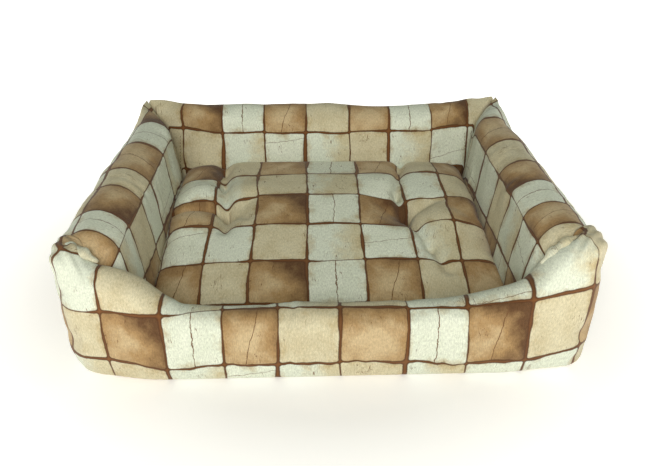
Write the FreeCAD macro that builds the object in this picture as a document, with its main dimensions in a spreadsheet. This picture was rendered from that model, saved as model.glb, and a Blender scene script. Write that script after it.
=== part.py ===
"""Padded pet bed: four padded walls round a floor, and a loose tufted cushion.

Frame: X runs along the bed's width, Y from the low front wall to the back wall, Z up.
The origin is the centre of the footprint, on the ground. All sizes are in millimetres.
"""
import FreeCAD, Part
import math
import os
import re
import Sketcher
from FreeCAD import Placement, Rotation, Vector

doc = FreeCAD.newDocument("padded_pet_bed")

# ---------------------------------------------------------------- driving dimensions
SIZES = [
    # overall
    ("bed_length", 800, "width over the wrapped front corners"),
    ("bed_depth", 660, "front face to back face"),
    ("back_height", 242, "ridge of the back wall"),
    ("front_height", 222, "ridge of the side walls where they meet the front wall"),
    ("corner_peak", 240, "front wall's corners, before their edges are rounded"),
    ("side_sag", 6, "how far the side ridges hang below a straight line"),
    ("entry_height", 112, "front wall at the middle, where the animal steps in"),
    ("entry_flat", 220, "level stretch of the entry"),
    # walls
    ("wall_top", 84, "wall thickness at the ridge"),
    ("wall_foot", 90, "wall thickness at the floor"),
    ("front_wall", 76, "front wall thickness"),
    ("corner_overhang", 8, "how far the front corners stand past the side walls"),
    ("ridge_radius", 24, "rounding of every ridge and of the upright front corners"),
    ("foot_radius", 22, "rounding of the outer bottom edge"),
    # cloth and filling
    ("cloth", 1.2, "printed cover cloth with its backing"),
    ("wadding", 12, "fibre wrap round each foam core"),
    ("panel", 1.5, "underside panel"),
    ("pad", 20, "wadding sheet in the floor"),
    ("thread", 1.6, "diameter of the closing stitches"),
    ("thread_gap", 0.05, "room round a closing stitch"),
    ("seam_inset", 8, "base seam in from the panel's edge"),
    # cushion
    ("cushion_height", 116, "cushion from its flat base to its crown"),
    ("cushion_gap", 4, "room between the cushion and each wall"),
    ("rest_gap", 0.3, "gap between the cushion and the floor lining"),
    ("cushion_corner", 60, "rounding of the cushion's corners, seen from above"),
    ("cushion_edge", 45, "rounding of the cushion's upper and lower edges"),
    ("seam_bead", 1.2, "how far the cushion's seam stands out"),
    ("tuft_left", 194, "left tuft, left of the middle"),
    ("tuft_right", 147, "right tuft, right of the middle"),
    ("tuft_back", 14, "both tufts, behind the middle"),
    ("dimple_rim", 50, "radius of a dimple at the crown"),
    ("dimple_floor", 7, "radius of a dimple at its floor"),
    ("dimple_depth", 34, "dimple in the top of the cushion"),
    ("under_depth", 10, "dimple in the underside of the cushion"),
    ("tie_radius", 1.5, "tuft tie through the filling"),
    ("knot_radius", 4.5, "knot at each end of a tie"),
    ("knot_height", 2.5, "thickness of a knot"),
    # side tab
    ("tab_height", 24, "folded tab in the right-hand corner seam"),
    ("tab_reach", 8, "how far the tab stands out of the seam"),
    ("tab_thickness", 1.0, "two layers of ribbon"),
    ("tab_lift", 26, "lower end of the tab above the ground"),
]

# sizes that follow from the ones above
DERIVED = [
    ("side_face", "bed_length / 2 - corner_overhang", "outer face of a side wall"),
    ("wall_slope", "(wall_foot - wall_top) / (back_height - panel)", "lean of the inner faces"),
    ("slope_stretch", "sqrt(1 + wall_slope ^ 2)", "horizontal thickness of a layer there"),
    ("front_inner", "bed_depth / 2 - front_wall", "inner face of the front wall"),
    ("floor_top", "panel + pad + cloth", "top of the floor lining"),
    ("cushion_base", "floor_top + rest_gap", "underside of the cushion"),
    ("cushion_top", "cushion_base + cushion_height", "crown of the cushion"),
    ("cushion_seam", "cushion_base + cushion_height / 2", "level of the cushion's seam"),
    ("wall_beside", "wall_foot - wall_slope * (floor_top + cushion_edge - panel)",
     "wall thickness beside the cushion"),
    ("cushion_side", "side_face - wall_beside - cushion_gap", "half the cushion's width"),
    ("cushion_front", "front_inner - cushion_gap", "cushion's front, from the middle"),
    ("cushion_back", "bed_depth / 2 - wall_beside - cushion_gap", "its back, from the middle"),
    ("floor_side", "side_face - wall_foot", "half the floor's width between the walls"),
    ("floor_back", "bed_depth / 2 - wall_foot", "floor's back edge, from the middle"),
    ("entry_rise", "corner_peak - entry_height", "front wall's rise to each corner"),
    ("entry_run", "(bed_length - entry_flat) / 2", "width of that rise"),
    ("entry_curve", "(entry_run ^ 2 + entry_rise ^ 2) / (2 * entry_rise)", "its radius"),
    ("ridge_chord", "sqrt((front_inner + bed_depth / 2) ^ 2 + (back_height - front_height) ^ 2)",
     "side ridge, end to end"),
    ("ridge_curve", "ridge_chord ^ 2 / (8 * side_sag) + side_sag / 2", "its radius"),
]

sheet = doc.addObject("Spreadsheet::Sheet", "sizes")
rows = SIZES + DERIVED
for row, (alias, value, meaning) in enumerate(rows, start=1):
    sheet.set("A%d" % row, alias)
    sheet.set("B%d" % row, ("=" if isinstance(value, str) else "") + str(value))
    sheet.setAlias("B%d" % row, alias)
    sheet.set("C%d" % row, meaning)
doc.recompute()

ALIASES = re.compile(r"\b(%s)\b" % "|".join(alias for alias, _, _ in rows))
REACH = 20       # how far a cutting outline runs past what it cuts
LONG = 100       # edges longer than this run the length of a piece
NEAR = 0.001     # places closer than this are the same place


def bound(text):
    """An expression in aliases, with the sheet's name in front of each alias."""
    return ALIASES.sub(r"sizes.\1", "(%s)" % text)


def size(text):
    return float(sheet.evalExpression(bound(text)))


# ---------------------------------------------------------------- small builders
def body_named(name):
    body = doc.addObject("PartDesign::Body", name)
    body.Label = name
    return body


def arc_between(start, stop, radius):
    """The arc from start to stop. Its centre is on the left, or on the right if the radius
    is negative. Also returns which of its ends come first and last along the outline."""
    half = (stop - start) / 2
    aside = Vector(-half.y, half.x, 0).normalize() * math.copysign(1, radius)
    centre = start + half + aside * math.sqrt(radius ** 2 - half.Length ** 2)
    first, last = (start, stop) if radius > 0 else (stop, start)
    angles = [math.atan2(p.y - centre.y, p.x - centre.x) for p in (first, last)]
    circle = Part.Circle(centre, Vector(0, 0, 1), abs(radius))
    return Part.ArcOfCircle(circle, *angles), (1, 2) if radius > 0 else (2, 1)


def outline(body, role, points, level=None):
    """A closed sketch. A point is (across, up), or (across, up, radius) where an arc leads
    to the next point. level moves the sketch along its plane's normal."""
    sketch = body.newObject("Sketcher::SketchObject", body.Name + "_outline")
    plane = next(p for p in body.Origin.OriginFeatures if p.Role == role)
    sketch.AttachmentSupport = [(plane, "")]
    sketch.MapMode = "FlatFace"
    if level:
        sketch.setExpression("AttachmentOffset.Base.z", bound(level))
    places = [Vector(size(point[0]), size(point[1]), 0) for point in points]
    edges = []
    for index, point in enumerate(points):
        start = places[index]
        stop = places[(index + 1) % len(points)]
        if len(point) == 3:
            curve, ends = arc_between(start, stop, size(point[2]))
            edge = sketch.addGeometry(curve)
            held = Sketcher.Constraint("Radius", edge, abs(size(point[2])))
            number = sketch.addConstraint(held)
            sketch.setExpression("Constraints[%d]" % number, "abs(%s)" % bound(point[2]))
        else:
            edge = sketch.addGeometry(Part.LineSegment(start, stop))
            ends = (1, 2)
        edges.append((edge, ends))
    for index, (edge, (first, last)) in enumerate(edges):
        following, (its_first, _) = edges[(index + 1) % len(edges)]
        joined = Sketcher.Constraint("Coincident", edge, last, following, its_first)
        sketch.addConstraint(joined)
        for kind, text in zip(("DistanceX", "DistanceY"), points[index]):
            held = Sketcher.Constraint(kind, -1, 1, edge, first, size(text))
            number = sketch.addConstraint(held)
            sketch.setExpression("Constraints[%d]" % number, bound(text))
    return sketch


def rectangle(side, front, back):
    """Corners of a level rectangle: half its width, its front and its back edge."""
    return [("-(%s)" % side, front), (side, front), (side, back), ("-(%s)" % side, back)]


def pad(body, sketch, length, side_type="One side", backwards=False):
    feature = body.newObject("PartDesign::Pad", body.Name + "_pad")
    feature.Profile = sketch
    feature.SideType = side_type
    feature.Reversed = backwards
    feature.setExpression("Length", bound(length))
    doc.recompute()
    return feature


def pocket(body, sketch):
    """Cuts the sketch's outline away on both sides of its plane."""
    before = body.Shape.Volume
    feature = body.newObject("PartDesign::Pocket", body.Name + "_cut")
    feature.Profile = sketch
    feature.SideType = "Symmetric"
    feature.setExpression("Length", bound("2 * (bed_length + bed_depth)"))
    doc.recompute()
    if feature.Shape.Volume >= before:
        raise RuntimeError(feature.Name + " cuts nothing")
    return feature


def fillet(body, base, radius, wanted):
    """Rounds the edges whose bounding boxes pass the test."""
    chosen = [number for number, edge in enumerate(base.Shape.Edges, start=1)
              if wanted(edge.BoundBox)]
    feature = body.newObject("PartDesign::Fillet", body.Name + "_round")
    feature.Base = (base, ["Edge%d" % number for number in chosen])
    feature.setExpression("Radius", bound(radius))
    doc.recompute()
    return feature


def part_feature(kind, name, links=None, expressions=None):
    feature = doc.addObject("Part::" + kind, name)
    feature.Label = name
    for key, value in (links or {}).items():
        setattr(feature, key, value)
    for key, text in (expressions or {}).items():
        feature.setExpression(key, bound(text))
    doc.recompute()
    return feature


def cut(name, base, tool):
    return part_feature("Cut", name, {"Base": base, "Tool": tool})


# ---------------------------------------------------------------- the walls
CORE = "cloth + wadding"     # how far inside the cover a foam core starts


def soften(body, base, radius, inset, wanted):
    """Rounds a wall's edges. A foam core is cut square and keeps its sharp edges."""
    if inset == CORE:
        return base
    return fillet(body, base, "%s - (%s)" % (radius, inset), wanted)


def inner_face(face, height, inset):
    """Where a sloped inner face stands at a height, from the middle of the bed."""
    thickness = "(wall_foot - wall_slope * (%s - panel))" % height
    return "%s - %s + (%s) * slope_stretch" % (face, thickness, inset)


def wall_section(face, inset, side=""):
    """The section of a back or side wall: upright outside, sloped inside."""
    low = "panel + (%s)" % inset
    high = "back_height - (%s)" % inset
    corners = [(inner_face(face, "(%s)" % low, inset), low),
               ("%s - (%s)" % (face, inset), low),
               ("%s - (%s)" % (face, inset), high),
               (inner_face(face, "(%s)" % high, inset), high)]
    if side:
        corners = [("-(%s)" % across, up) for across, up in reversed(corners)]
    return corners


def mitre_line(across, back, inset):
    """Two points on the line that parts a back and a side wall, seen from above."""
    shift = "(%s) * sqrt(2)" % inset
    return [("%s - (%s) + %d" % (across, shift, REACH), "%s + %d" % (back, REACH)),
            ("%s - (%s) - wall_foot - %d" % (across, shift, REACH),
             "%s - wall_foot - %d" % (back, REACH))]


def back_wall(name, inset):
    body = body_named(name)
    sketch = outline(body, "YZ_Plane", wall_section("bed_depth / 2", inset))
    block = pad(body, sketch, "2 * (side_face - (%s))" % inset, "Symmetric")
    high = size("back_height - (%s)" % inset)
    low = size("panel + (%s)" % inset)
    outer = size("bed_depth / 2 - (%s)" % inset)
    ridge = soften(body, block, "ridge_radius", inset,
                   lambda box: box.XLength > LONG and box.ZMin > high - NEAR)
    soften(body, ridge, "foot_radius", inset,
           lambda box: box.XLength > LONG and box.ZMax < low + NEAR and box.YMin > outer - NEAR)
    top, bottom = mitre_line("side_face", "bed_depth / 2", inset)
    third = ("side_face + %d" % REACH, bottom[1])
    pocket(body, outline(body, "XY_Plane", [top, bottom, third]))
    flipped = [("-(%s)" % across, back) for across, back in (top, third, bottom)]
    pocket(body, outline(body, "XY_Plane", flipped))
    return body


def side_wall(name, inset, side):
    """side is an empty string for the right wall and a minus sign for the left one."""
    body = body_named(name)
    section = outline(body, "XZ_Plane", wall_section("side_face", inset, side),
                      "front_inner - (%s)" % inset)
    block = pad(body, section, "front_inner + bed_depth / 2 - (%s)" % inset, backwards=True)

    # the ridge hangs in a shallow arc from the back corner to the front one
    sky = "back_height + %d" % REACH
    sag = [("-front_inner", "front_height - (%s)" % inset, "ridge_curve"),
           ("bed_depth / 2", "back_height - (%s)" % inset),
           ("bed_depth / 2", sky),
           ("-front_inner", sky)]
    hung = pocket(body, outline(body, "YZ_Plane", sag))
    low = size("panel + (%s)" % inset)
    outer = size("side_face - (%s)" % inset)
    ridge = soften(body, hung, "ridge_radius", inset,
                   lambda box: box.YLength > LONG and box.ZMin > LONG)
    soften(body, ridge, "foot_radius", inset,
           lambda box: (box.YLength > LONG and box.ZMax < low + NEAR
                        and max(box.XMax, -box.XMin) > outer - NEAR))
    inward = "(%s) * sqrt(2)" % inset
    corner = [("side_face + %d" % REACH, "bed_depth / 2 - %s + %d" % (inward, REACH)),
              ("side_face - wall_foot - %d" % REACH, "bed_depth / 2 + 2 * %d" % REACH),
              ("side_face - wall_foot - %d" % REACH,
               "bed_depth / 2 - %s - wall_foot - %d" % (inward, REACH))]
    if side:
        corner = [("-(%s)" % across, back) for across, back in reversed(corner)]
    pocket(body, outline(body, "XY_Plane", corner))
    return body


def front_wall(name, inset):
    """The front wall turns both front corners and dips in the middle for the entry."""
    body = body_named(name)
    side = "(bed_length / 2 - (%s))" % inset
    low = "panel + (%s)" % inset
    entry = "entry_height - (%s)" % inset
    curve = "(entry_curve + (%s))" % inset
    end = "entry_height + entry_curve - sqrt(%s ^ 2 - (%s - entry_flat / 2) ^ 2)" % (curve, side)
    points = [("-" + side, low),
              (side, low),
              (side, end, "-" + curve),
              ("entry_flat / 2", entry),
              ("-entry_flat / 2", entry, "-" + curve),
              ("-" + side, end)]
    block = pad(body, outline(body, "XZ_Plane", points, "front_inner + (%s)" % inset),
                "front_wall - 2 * (%s)" % inset)
    face = size("(%s) - bed_depth / 2" % inset)
    level = size(entry)
    ground = size(low)
    # one rounding runs up the front corners and along the ridge
    rounded = soften(body, block, "ridge_radius", inset,
                     lambda box: (box.ZLength > LONG and box.XLength < NEAR
                                  and box.YMax < face + NEAR
                                  or box.XLength > LONG and abs(box.ZMax - level) < NEAR))
    soften(body, rounded, "foot_radius", inset,
           lambda box: (box.XLength > LONG and box.ZMax < ground + NEAR
                        and box.YMax < face + NEAR))
    return body


def padded_wall(name, build):
    """The wall's shape three times, one inside the other, makes its cover, its wadding
    and its foam core."""
    outside = build(name + "_outside", "0")
    lining = build(name + "_lining", "cloth")
    foam = build(name + "_foam", CORE)
    cover = cut(name + "_cover", outside, lining)
    wrap = cut(name + "_wadding", lining, foam)
    return [cover, wrap, foam]


pieces = []
for name, build in (
        ("back_wall", back_wall),
        ("left_wall", lambda label, inset: side_wall(label, inset, "-")),
        ("right_wall", lambda label, inset: side_wall(label, inset, "")),
        ("front_wall", front_wall)):
    pieces += padded_wall(name, build)


# ---------------------------------------------------------------- the floor
def slab(name, side, front, back, level, thickness, corner=None):
    body = body_named(name)
    block = pad(body, outline(body, "XY_Plane", rectangle(side, front, back), level), thickness)
    if corner:
        fillet(body, block, corner, lambda box: box.XLength + box.YLength < NEAR)
    return body


panel_side = "(side_face - foot_radius)"
panel_edge = "(bed_depth / 2 - foot_radius)"
whole_panel = slab("whole_panel", panel_side, "-" + panel_edge, panel_edge, "0", "panel",
                   "foot_radius")
stitch_outer = slab("stitch_outer", panel_side + " - seam_inset",
                    "seam_inset - " + panel_edge, panel_edge + " - seam_inset",
                    "panel - thread / 2", "thread / 2")
stitch_inner = slab("stitch_inner", panel_side + " - seam_inset - thread",
                    "seam_inset + thread - " + panel_edge,
                    panel_edge + " - seam_inset - thread",
                    "panel - thread / 2", "thread / 2")
base_thread = cut("base_seam_thread", stitch_outer, stitch_inner)
underside = cut("underside_panel", whole_panel, base_thread)
base_pad = slab("base_pad", "floor_side", "-front_inner", "floor_back", "panel", "pad")
lining = slab("floor_lining", "floor_side", "-front_inner", "floor_back", "panel + pad", "cloth")
pieces += [underside, base_thread, base_pad, lining]


# ---------------------------------------------------------------- corner stitching
def corner_bead(side, back, low, high):
    """A bead of thread in the corner where the inner faces of two walls meet. side is 1 or
    -1, and back is True for the corners at the back wall, whose inner face leans too."""
    clear = size("(thread / 2 + thread_gap) * slope_stretch")
    ends = []
    for level in (size(low), size(high)):
        thickness = size("wall_foot") - size("wall_slope") * (level - size("panel"))
        across = side * (size("side_face") - thickness - clear)
        along = size("bed_depth / 2") - thickness - clear if back else clear - size("front_inner")
        ends.append(Vector(across, along, level))
    start, stop = ends
    return Part.makeCylinder(size("thread / 2"), start.distanceToPoint(stop), start, stop - start)


beads = []
for side in (-1, 1):
    for back, top in ((True, "back_height - ridge_radius"),
                      (False, "front_height - ridge_radius - side_sag")):
        beads.append(corner_bead(side, back, "floor_top + thread", top))
stitching = doc.addObject("Part::Feature", "corner_seam_threads")
stitching.Label = "corner_seam_threads"
stitching.Shape = Part.makeCompound(beads)
pieces.append(stitching)

tab = part_feature("Box", "side_tab", expressions={
    "Length": "tab_reach",
    "Width": "tab_thickness",
    "Height": "tab_height",
    "Placement.Base.x": "side_face",
    "Placement.Base.y": "-front_inner",
    "Placement.Base.z": "tab_lift"})
pieces.append(tab)


# ---------------------------------------------------------------- the cushion
def cushion_form(name, inset):
    body = body_named(name)
    plan = rectangle("cushion_side - (%s)" % inset, "(%s) - cushion_front" % inset,
                     "cushion_back - (%s)" % inset)
    block = pad(body, outline(body, "XY_Plane", plan, "cushion_base + (%s)" % inset),
                "cushion_height - 2 * (%s)" % inset)
    corners = fillet(body, block, "cushion_corner - (%s)" % inset,
                     lambda box: box.XLength + box.YLength < NEAR)
    fillet(body, corners, "cushion_edge - (%s)" % inset,
           lambda box: box.XLength > LONG and box.ZLength < NEAR)
    return body


def dimples(name, layer):
    """The hollows that a layer of the cushion has at both tufts, above and below."""
    cones = []
    wider = "(%s) * 1.5" % layer
    for tuft, across in (("left", "-tuft_left"), ("right", "tuft_right")):
        for face, radii, base, depth in (
                ("top", ("dimple_floor + " + wider, "dimple_rim + " + wider),
                 "cushion_top - dimple_depth - (%s)" % layer, "dimple_depth + (%s)" % layer),
                ("under", ("dimple_rim / 2 + " + wider, "dimple_floor + " + wider),
                 "cushion_base", "under_depth + (%s)" % layer)):
            cones.append(part_feature("Cone", "%s_%s_%s" % (name, tuft, face), expressions={
                "Radius1": radii[0],
                "Radius2": radii[1],
                "Height": depth,
                "Placement.Base.x": across,
                "Placement.Base.y": "tuft_back",
                "Placement.Base.z": base}))
    return part_feature("MultiFuse", name, {"Shapes": cones})


def tie(name, across):
    """A thread through the cushion with a knot in the dimple at each end."""
    top = "cushion_top - dimple_depth"
    base = "cushion_base + under_depth"
    parts = []
    for label, radius, level, length in (
            ("strand", "tie_radius", base, "%s - (%s)" % (top, base)),
            ("upper_knot", "knot_radius", top, "knot_height"),
            ("lower_knot", "knot_radius", base + " - knot_height", "knot_height")):
        parts.append(part_feature("Cylinder", "%s_%s" % (name, label), expressions={
            "Radius": radius,
            "Height": length,
            "Placement.Base.x": across,
            "Placement.Base.y": "tuft_back",
            "Placement.Base.z": level}))
    return part_feature("MultiFuse", name, {"Shapes": parts})


ties = [tie("tuft_tie_left", "-tuft_left"), tie("tuft_tie_right", "tuft_right")]
both_ties = part_feature("MultiFuse", "both_ties", {"Shapes": ties})
outer_form = cushion_form("cushion_outside", "0")
inner_form = cushion_form("cushion_lining", "cloth")
outer_skin = cut("cushion_dimpled", outer_form, dimples("outer_dimples", "0"))
inner_skin = cut("cushion_stuffing", inner_form, dimples("inner_dimples", "cloth"))
cushion_cover = cut("cushion_cover", cut("cushion_shell", outer_skin, inner_skin), both_ties)
filling = cut("cushion_fill", inner_skin, both_ties)

# the cover is two panels, sewn together all round at mid height
above = slab("above_seam", "bed_length", "-bed_depth", "bed_depth", "cushion_seam",
             "cushion_height")
top_panel = part_feature("Common", "cushion_top_panel", {"Base": cushion_cover, "Tool": above})
bottom_panel = cut("cushion_bottom_panel", cushion_cover, above)
welt = slab("cushion_welt", "cushion_side + seam_bead", "-(cushion_front + seam_bead)",
            "cushion_back + seam_bead", "cushion_seam - seam_bead", "2 * seam_bead",
            "cushion_corner + seam_bead")
cushion_thread = cut("cushion_seam_thread", welt, outer_form)
pieces += [top_panel, bottom_panel, filling, cushion_thread] + ties


# ---------------------------------------------------------------- check and write
doc.recompute()
for item in doc.Objects:
    faults = [state for state in item.State if state in ("Invalid", "Error")]
    if faults:
        raise RuntimeError("%s is %s" % (item.Label, faults))
for piece in pieces:
    if piece.Shape.isNull() or not piece.Shape.isValid() or not piece.Shape.Solids:
        raise RuntimeError(piece.Label + " is not a valid solid")

os.makedirs("parts", exist_ok=True)
for piece in pieces:
    piece.Shape.exportStep("parts/%s.step" % piece.Label)
    box = piece.Shape.BoundBox
    print("%-22s %d solids %10.0f mm3  z %6.1f to %6.1f" % (
        piece.Label, len(piece.Shape.Solids), piece.Shape.Volume, box.ZMin, box.ZMax))
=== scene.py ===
"""The padded pet bed as it looks: stuffed walls and a tufted cushion in printed cotton canvas.

Lengths are in metres. Each cover is made as its maker cuts it: a flat panel of cloth is wrapped
round its filling, and the print follows the cloth.
"""
import math

import bmesh
import bpy
from mathutils import Matrix, Vector, noise


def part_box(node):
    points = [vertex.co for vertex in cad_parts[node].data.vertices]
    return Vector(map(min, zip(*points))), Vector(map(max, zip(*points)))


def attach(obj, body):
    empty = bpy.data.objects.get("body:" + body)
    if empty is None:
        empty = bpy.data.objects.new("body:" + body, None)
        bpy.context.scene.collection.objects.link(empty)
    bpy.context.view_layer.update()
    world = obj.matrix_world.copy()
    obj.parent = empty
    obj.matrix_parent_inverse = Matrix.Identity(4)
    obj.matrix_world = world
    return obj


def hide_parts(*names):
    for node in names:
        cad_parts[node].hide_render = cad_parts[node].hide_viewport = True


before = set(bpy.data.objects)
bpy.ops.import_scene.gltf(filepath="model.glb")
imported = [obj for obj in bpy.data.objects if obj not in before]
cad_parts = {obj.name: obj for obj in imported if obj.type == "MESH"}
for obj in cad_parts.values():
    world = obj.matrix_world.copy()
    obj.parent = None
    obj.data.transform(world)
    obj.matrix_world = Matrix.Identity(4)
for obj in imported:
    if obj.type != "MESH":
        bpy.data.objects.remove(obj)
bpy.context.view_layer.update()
scene = bpy.context.scene

# ---------------------------------------------------------------- sizes, from the frame
MM = 0.001
BLOCK = 90 * MM                                     # one printed wooden block

back_low, back_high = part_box("back_wall_cover")
front_low, front_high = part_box("front_wall_cover")
right_low, right_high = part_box("right_wall_cover")
pad_low, pad_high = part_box("base_pad")
lining_low, lining_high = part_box("floor_lining")
under_low, under_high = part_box("underside_panel")
pillow_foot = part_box("cushion_bottom_panel")[0].z
tab_low, tab_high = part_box("side_tab")
tie_left = sum(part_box("tuft_tie_left"), Vector()) / 2
tie_right = sum(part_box("tuft_tie_right"), Vector()) / 2

SIDE = right_high.x                                 # outer face of a side wall
CORNER = front_high.x                               # outer face of a front corner
BACK = back_high.y                                  # outer face of the back wall
FRONT = front_low.y                                 # outer face of the front wall
FOOT = back_low.z                                   # lowest edge of the covers
FLOOR = lining_high.z                               # where the walls meet the floor
WALL = right_high.x - right_low.x                   # wall thickness at the floor
FRONT_WALL = front_high.y - front_low.y
PEAK = back_high.z                                  # height of the back corners
RIDGE = 43 * MM                                     # radius of a stuffed ridge
MITRE = 27 * MM                                     # its radius where two walls are mitred


# ---------------------------------------------------------------- small tools
def mix(a, b, share):
    return a + (b - a) * share


def smooth(value, low, high):
    """0 below low, 1 above high, with a soft S between."""
    share = min(max((value - low) / (high - low), 0), 1)
    return share * share * (3 - 2 * share)


def along(stops, place):
    """A smooth curve through (place, value) stops, level beyond its ends."""
    if place <= stops[0][0]:
        return stops[0][1]
    if place >= stops[-1][0]:
        return stops[-1][1]
    leg = max(i for i in range(len(stops) - 1) if stops[i][0] <= place)
    (x0, y0), (x1, y1) = stops[leg], stops[leg + 1]
    before, after = stops[max(leg - 1, 0)], stops[min(leg + 2, len(stops) - 1)]
    slope0 = (y1 - before[1]) / (x1 - before[0])
    slope1 = (after[1] - y0) / (after[0] - x0)
    span = x1 - x0
    t = (place - x0) / span
    return (y0 * (2 * t**3 - 3 * t**2 + 1) + y1 * (3 * t**2 - 2 * t**3)
            + span * (slope0 * (t**3 - 2 * t**2 + t) + slope1 * (t**3 - t**2)))


def lumps(place, size, seed):
    """Soft unevenness of stuffing, between about -1 and 1, with lumps of a given size."""
    return noise.noise(Vector(place) / size + Vector((seed, -seed, 2 * seed)))


def printed(lines, place):
    """Where a place falls on the print, in blocks, when its printed lines are at lines (mm)."""
    rising = lines[-1] > lines[0]
    place = place / MM
    sign = 1 if rising else -1
    if sign * (place - lines[0]) <= 0:
        return sign * (place - lines[0]) * MM / BLOCK
    for index, (start, stop) in enumerate(zip(lines, lines[1:])):
        if sign * (place - stop) <= 0:
            return index + (place - start) / (stop - start)
    return len(lines) - 1 + sign * (place - lines[-1]) * MM / BLOCK


def spaced(points, count):
    """Points evenly spaced along a chain of points."""
    lengths = [0]
    for start, stop in zip(points, points[1:]):
        lengths.append(lengths[-1] + (stop - start).length)
    found = []
    leg = 0
    for step in range(count + 1):
        reach = lengths[-1] * step / count
        while leg < len(points) - 2 and lengths[leg + 1] < reach:
            leg += 1
        span = lengths[leg + 1] - lengths[leg]
        found.append(points[leg].lerp(points[leg + 1], (reach - lengths[leg]) / span if span else 0))
    return found


def arc(centre, radius, start, stop, count=12):
    """Points on a circle between two angles in degrees."""
    angles = [math.radians(mix(start, stop, step / count)) for step in range(count + 1)]
    return [Vector(centre) + radius * Vector((math.cos(a), math.sin(a))) for a in angles]


# ---------------------------------------------------------------- cloth panels
SECTION = (("outer", 24), ("ridge", 14), ("inner", 20), ("under", 5))
SECTION_ROWS = sum(count for _, count in SECTION)
OUTER_ROW = SECTION[0][1]                           # the last row of the outer face
RIDGE_ROW = OUTER_ROW + SECTION[1][1] // 2          # the row along the top of the ridge


def section(height, width, ridge, drawn=0.0, foot=20 * MM, bulge=3 * MM, lean=0.0):
    """A stuffed wall cut across, as points (inward, up) and the length of cloth up to each.
    drawn runs from 0, a round ridge, to 1, a ridge drawn out to a point over the outer face.
    lean is how far the ridge stands out over the foot, or the foot over the ridge if negative."""
    shoulder = Vector((2 * ridge, height - ridge - 26 * MM * drawn))
    outer = arc((foot, FOOT + foot), foot, 245, 180)
    for step in range(1, 9):
        up = step / 8
        outer.append(Vector((-bulge * math.sin(math.pi * up), mix(FOOT + foot, height - ridge, up))))
    round_top = arc((ridge, height - ridge), ridge, 180, 0, 28)
    point = Vector((3 * MM, height))
    drawn_top = spaced([Vector((0, height - ridge)), point, mix(point, shoulder, 0.5)
                        + Vector((-4 * MM, 2 * MM)), shoulder], 28)
    ridge_top = [a.lerp(b, drawn) for a, b in zip(round_top, drawn_top)]
    shoulder = ridge_top[-1]
    inner = [mix(shoulder, Vector((width, FLOOR)), step / 8)
             + Vector((1, 0.3)) * bulge * math.sin(math.pi * step / 8) for step in range(9)]
    under = [inner[-1], Vector((width, FOOT)), outer[0]]
    chain = [outer[0]]
    for points, (_, count) in zip((outer, ridge_top, inner, under), SECTION):
        chain += spaced(points, count)[1:]
    for point in chain:
        if lean > 0:
            point.x -= lean * smooth(point.y, 40 * MM, 190 * MM)
        elif point.x < width / 2:
            point.x += lean * (1 - smooth(point.y, 30 * MM, height - ridge / 2))
    lengths = [0]
    for start, stop in zip(chain, chain[1:]):
        lengths.append(lengths[-1] + (stop - start).length)
    return chain, lengths


def wall_cut(height, near, hand, **shape):
    """The section of a back or side wall, near from 0 along the wall to 1 at a back corner,
    where both walls share one section, drawn out further at the left than at the right."""
    shape["bulge"] = mix(shape.get("bulge", 4 * MM), 2 * MM, near)
    shape["lean"] = shape.get("lean", 0) * (1 - near)
    return section(mix(height, PEAK, near), WALL, mix(RIDGE, MITRE, near),
                   near**1.5 * (1.0 if hand < 0 else 0.8), **shape)


def sew(name, columns, rows, place, uneven=None, close=True):
    """A flat grid of cloth put in place and sewn up where its edges meet. place(column, row)
    gives a point and its place on the print; uneven(point) is how far the filling pushes out."""
    bm = bmesh.new()
    print_map = bm.loops.layers.uv.new("print")
    bmesh.ops.create_grid(bm, x_segments=columns, y_segments=rows, size=0.5)
    spots = {}
    for vert in bm.verts:
        column = round((vert.co.x + 0.5) * columns)
        row = round((vert.co.y + 0.5) * rows)
        vert.co, spots[vert] = place(column, row)
    for face in bm.faces:
        for loop in face.loops:
            loop[print_map].uv = spots[loop.vert]
    bmesh.ops.remove_doubles(bm, verts=bm.verts[:], dist=0.02 * MM)
    if close:
        bmesh.ops.holes_fill(bm, edges=[e for e in bm.edges if e.is_boundary], sides=0)
    bmesh.ops.recalc_face_normals(bm, faces=bm.faces[:])
    if uneven:
        bm.normal_update()
        pushed = [(vert, vert.co + vert.normal * uneven(vert.co)) for vert in bm.verts]
        for vert, spot in pushed:
            vert.co = spot
    return as_piece(name, bm)


def as_piece(name, bm):
    mesh = bpy.data.meshes.new(name)
    bm.to_mesh(mesh)
    bm.free()
    mesh.shade_smooth()
    piece = bpy.data.objects.new(name, mesh)
    scene.collection.objects.link(piece)
    return piece


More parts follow.
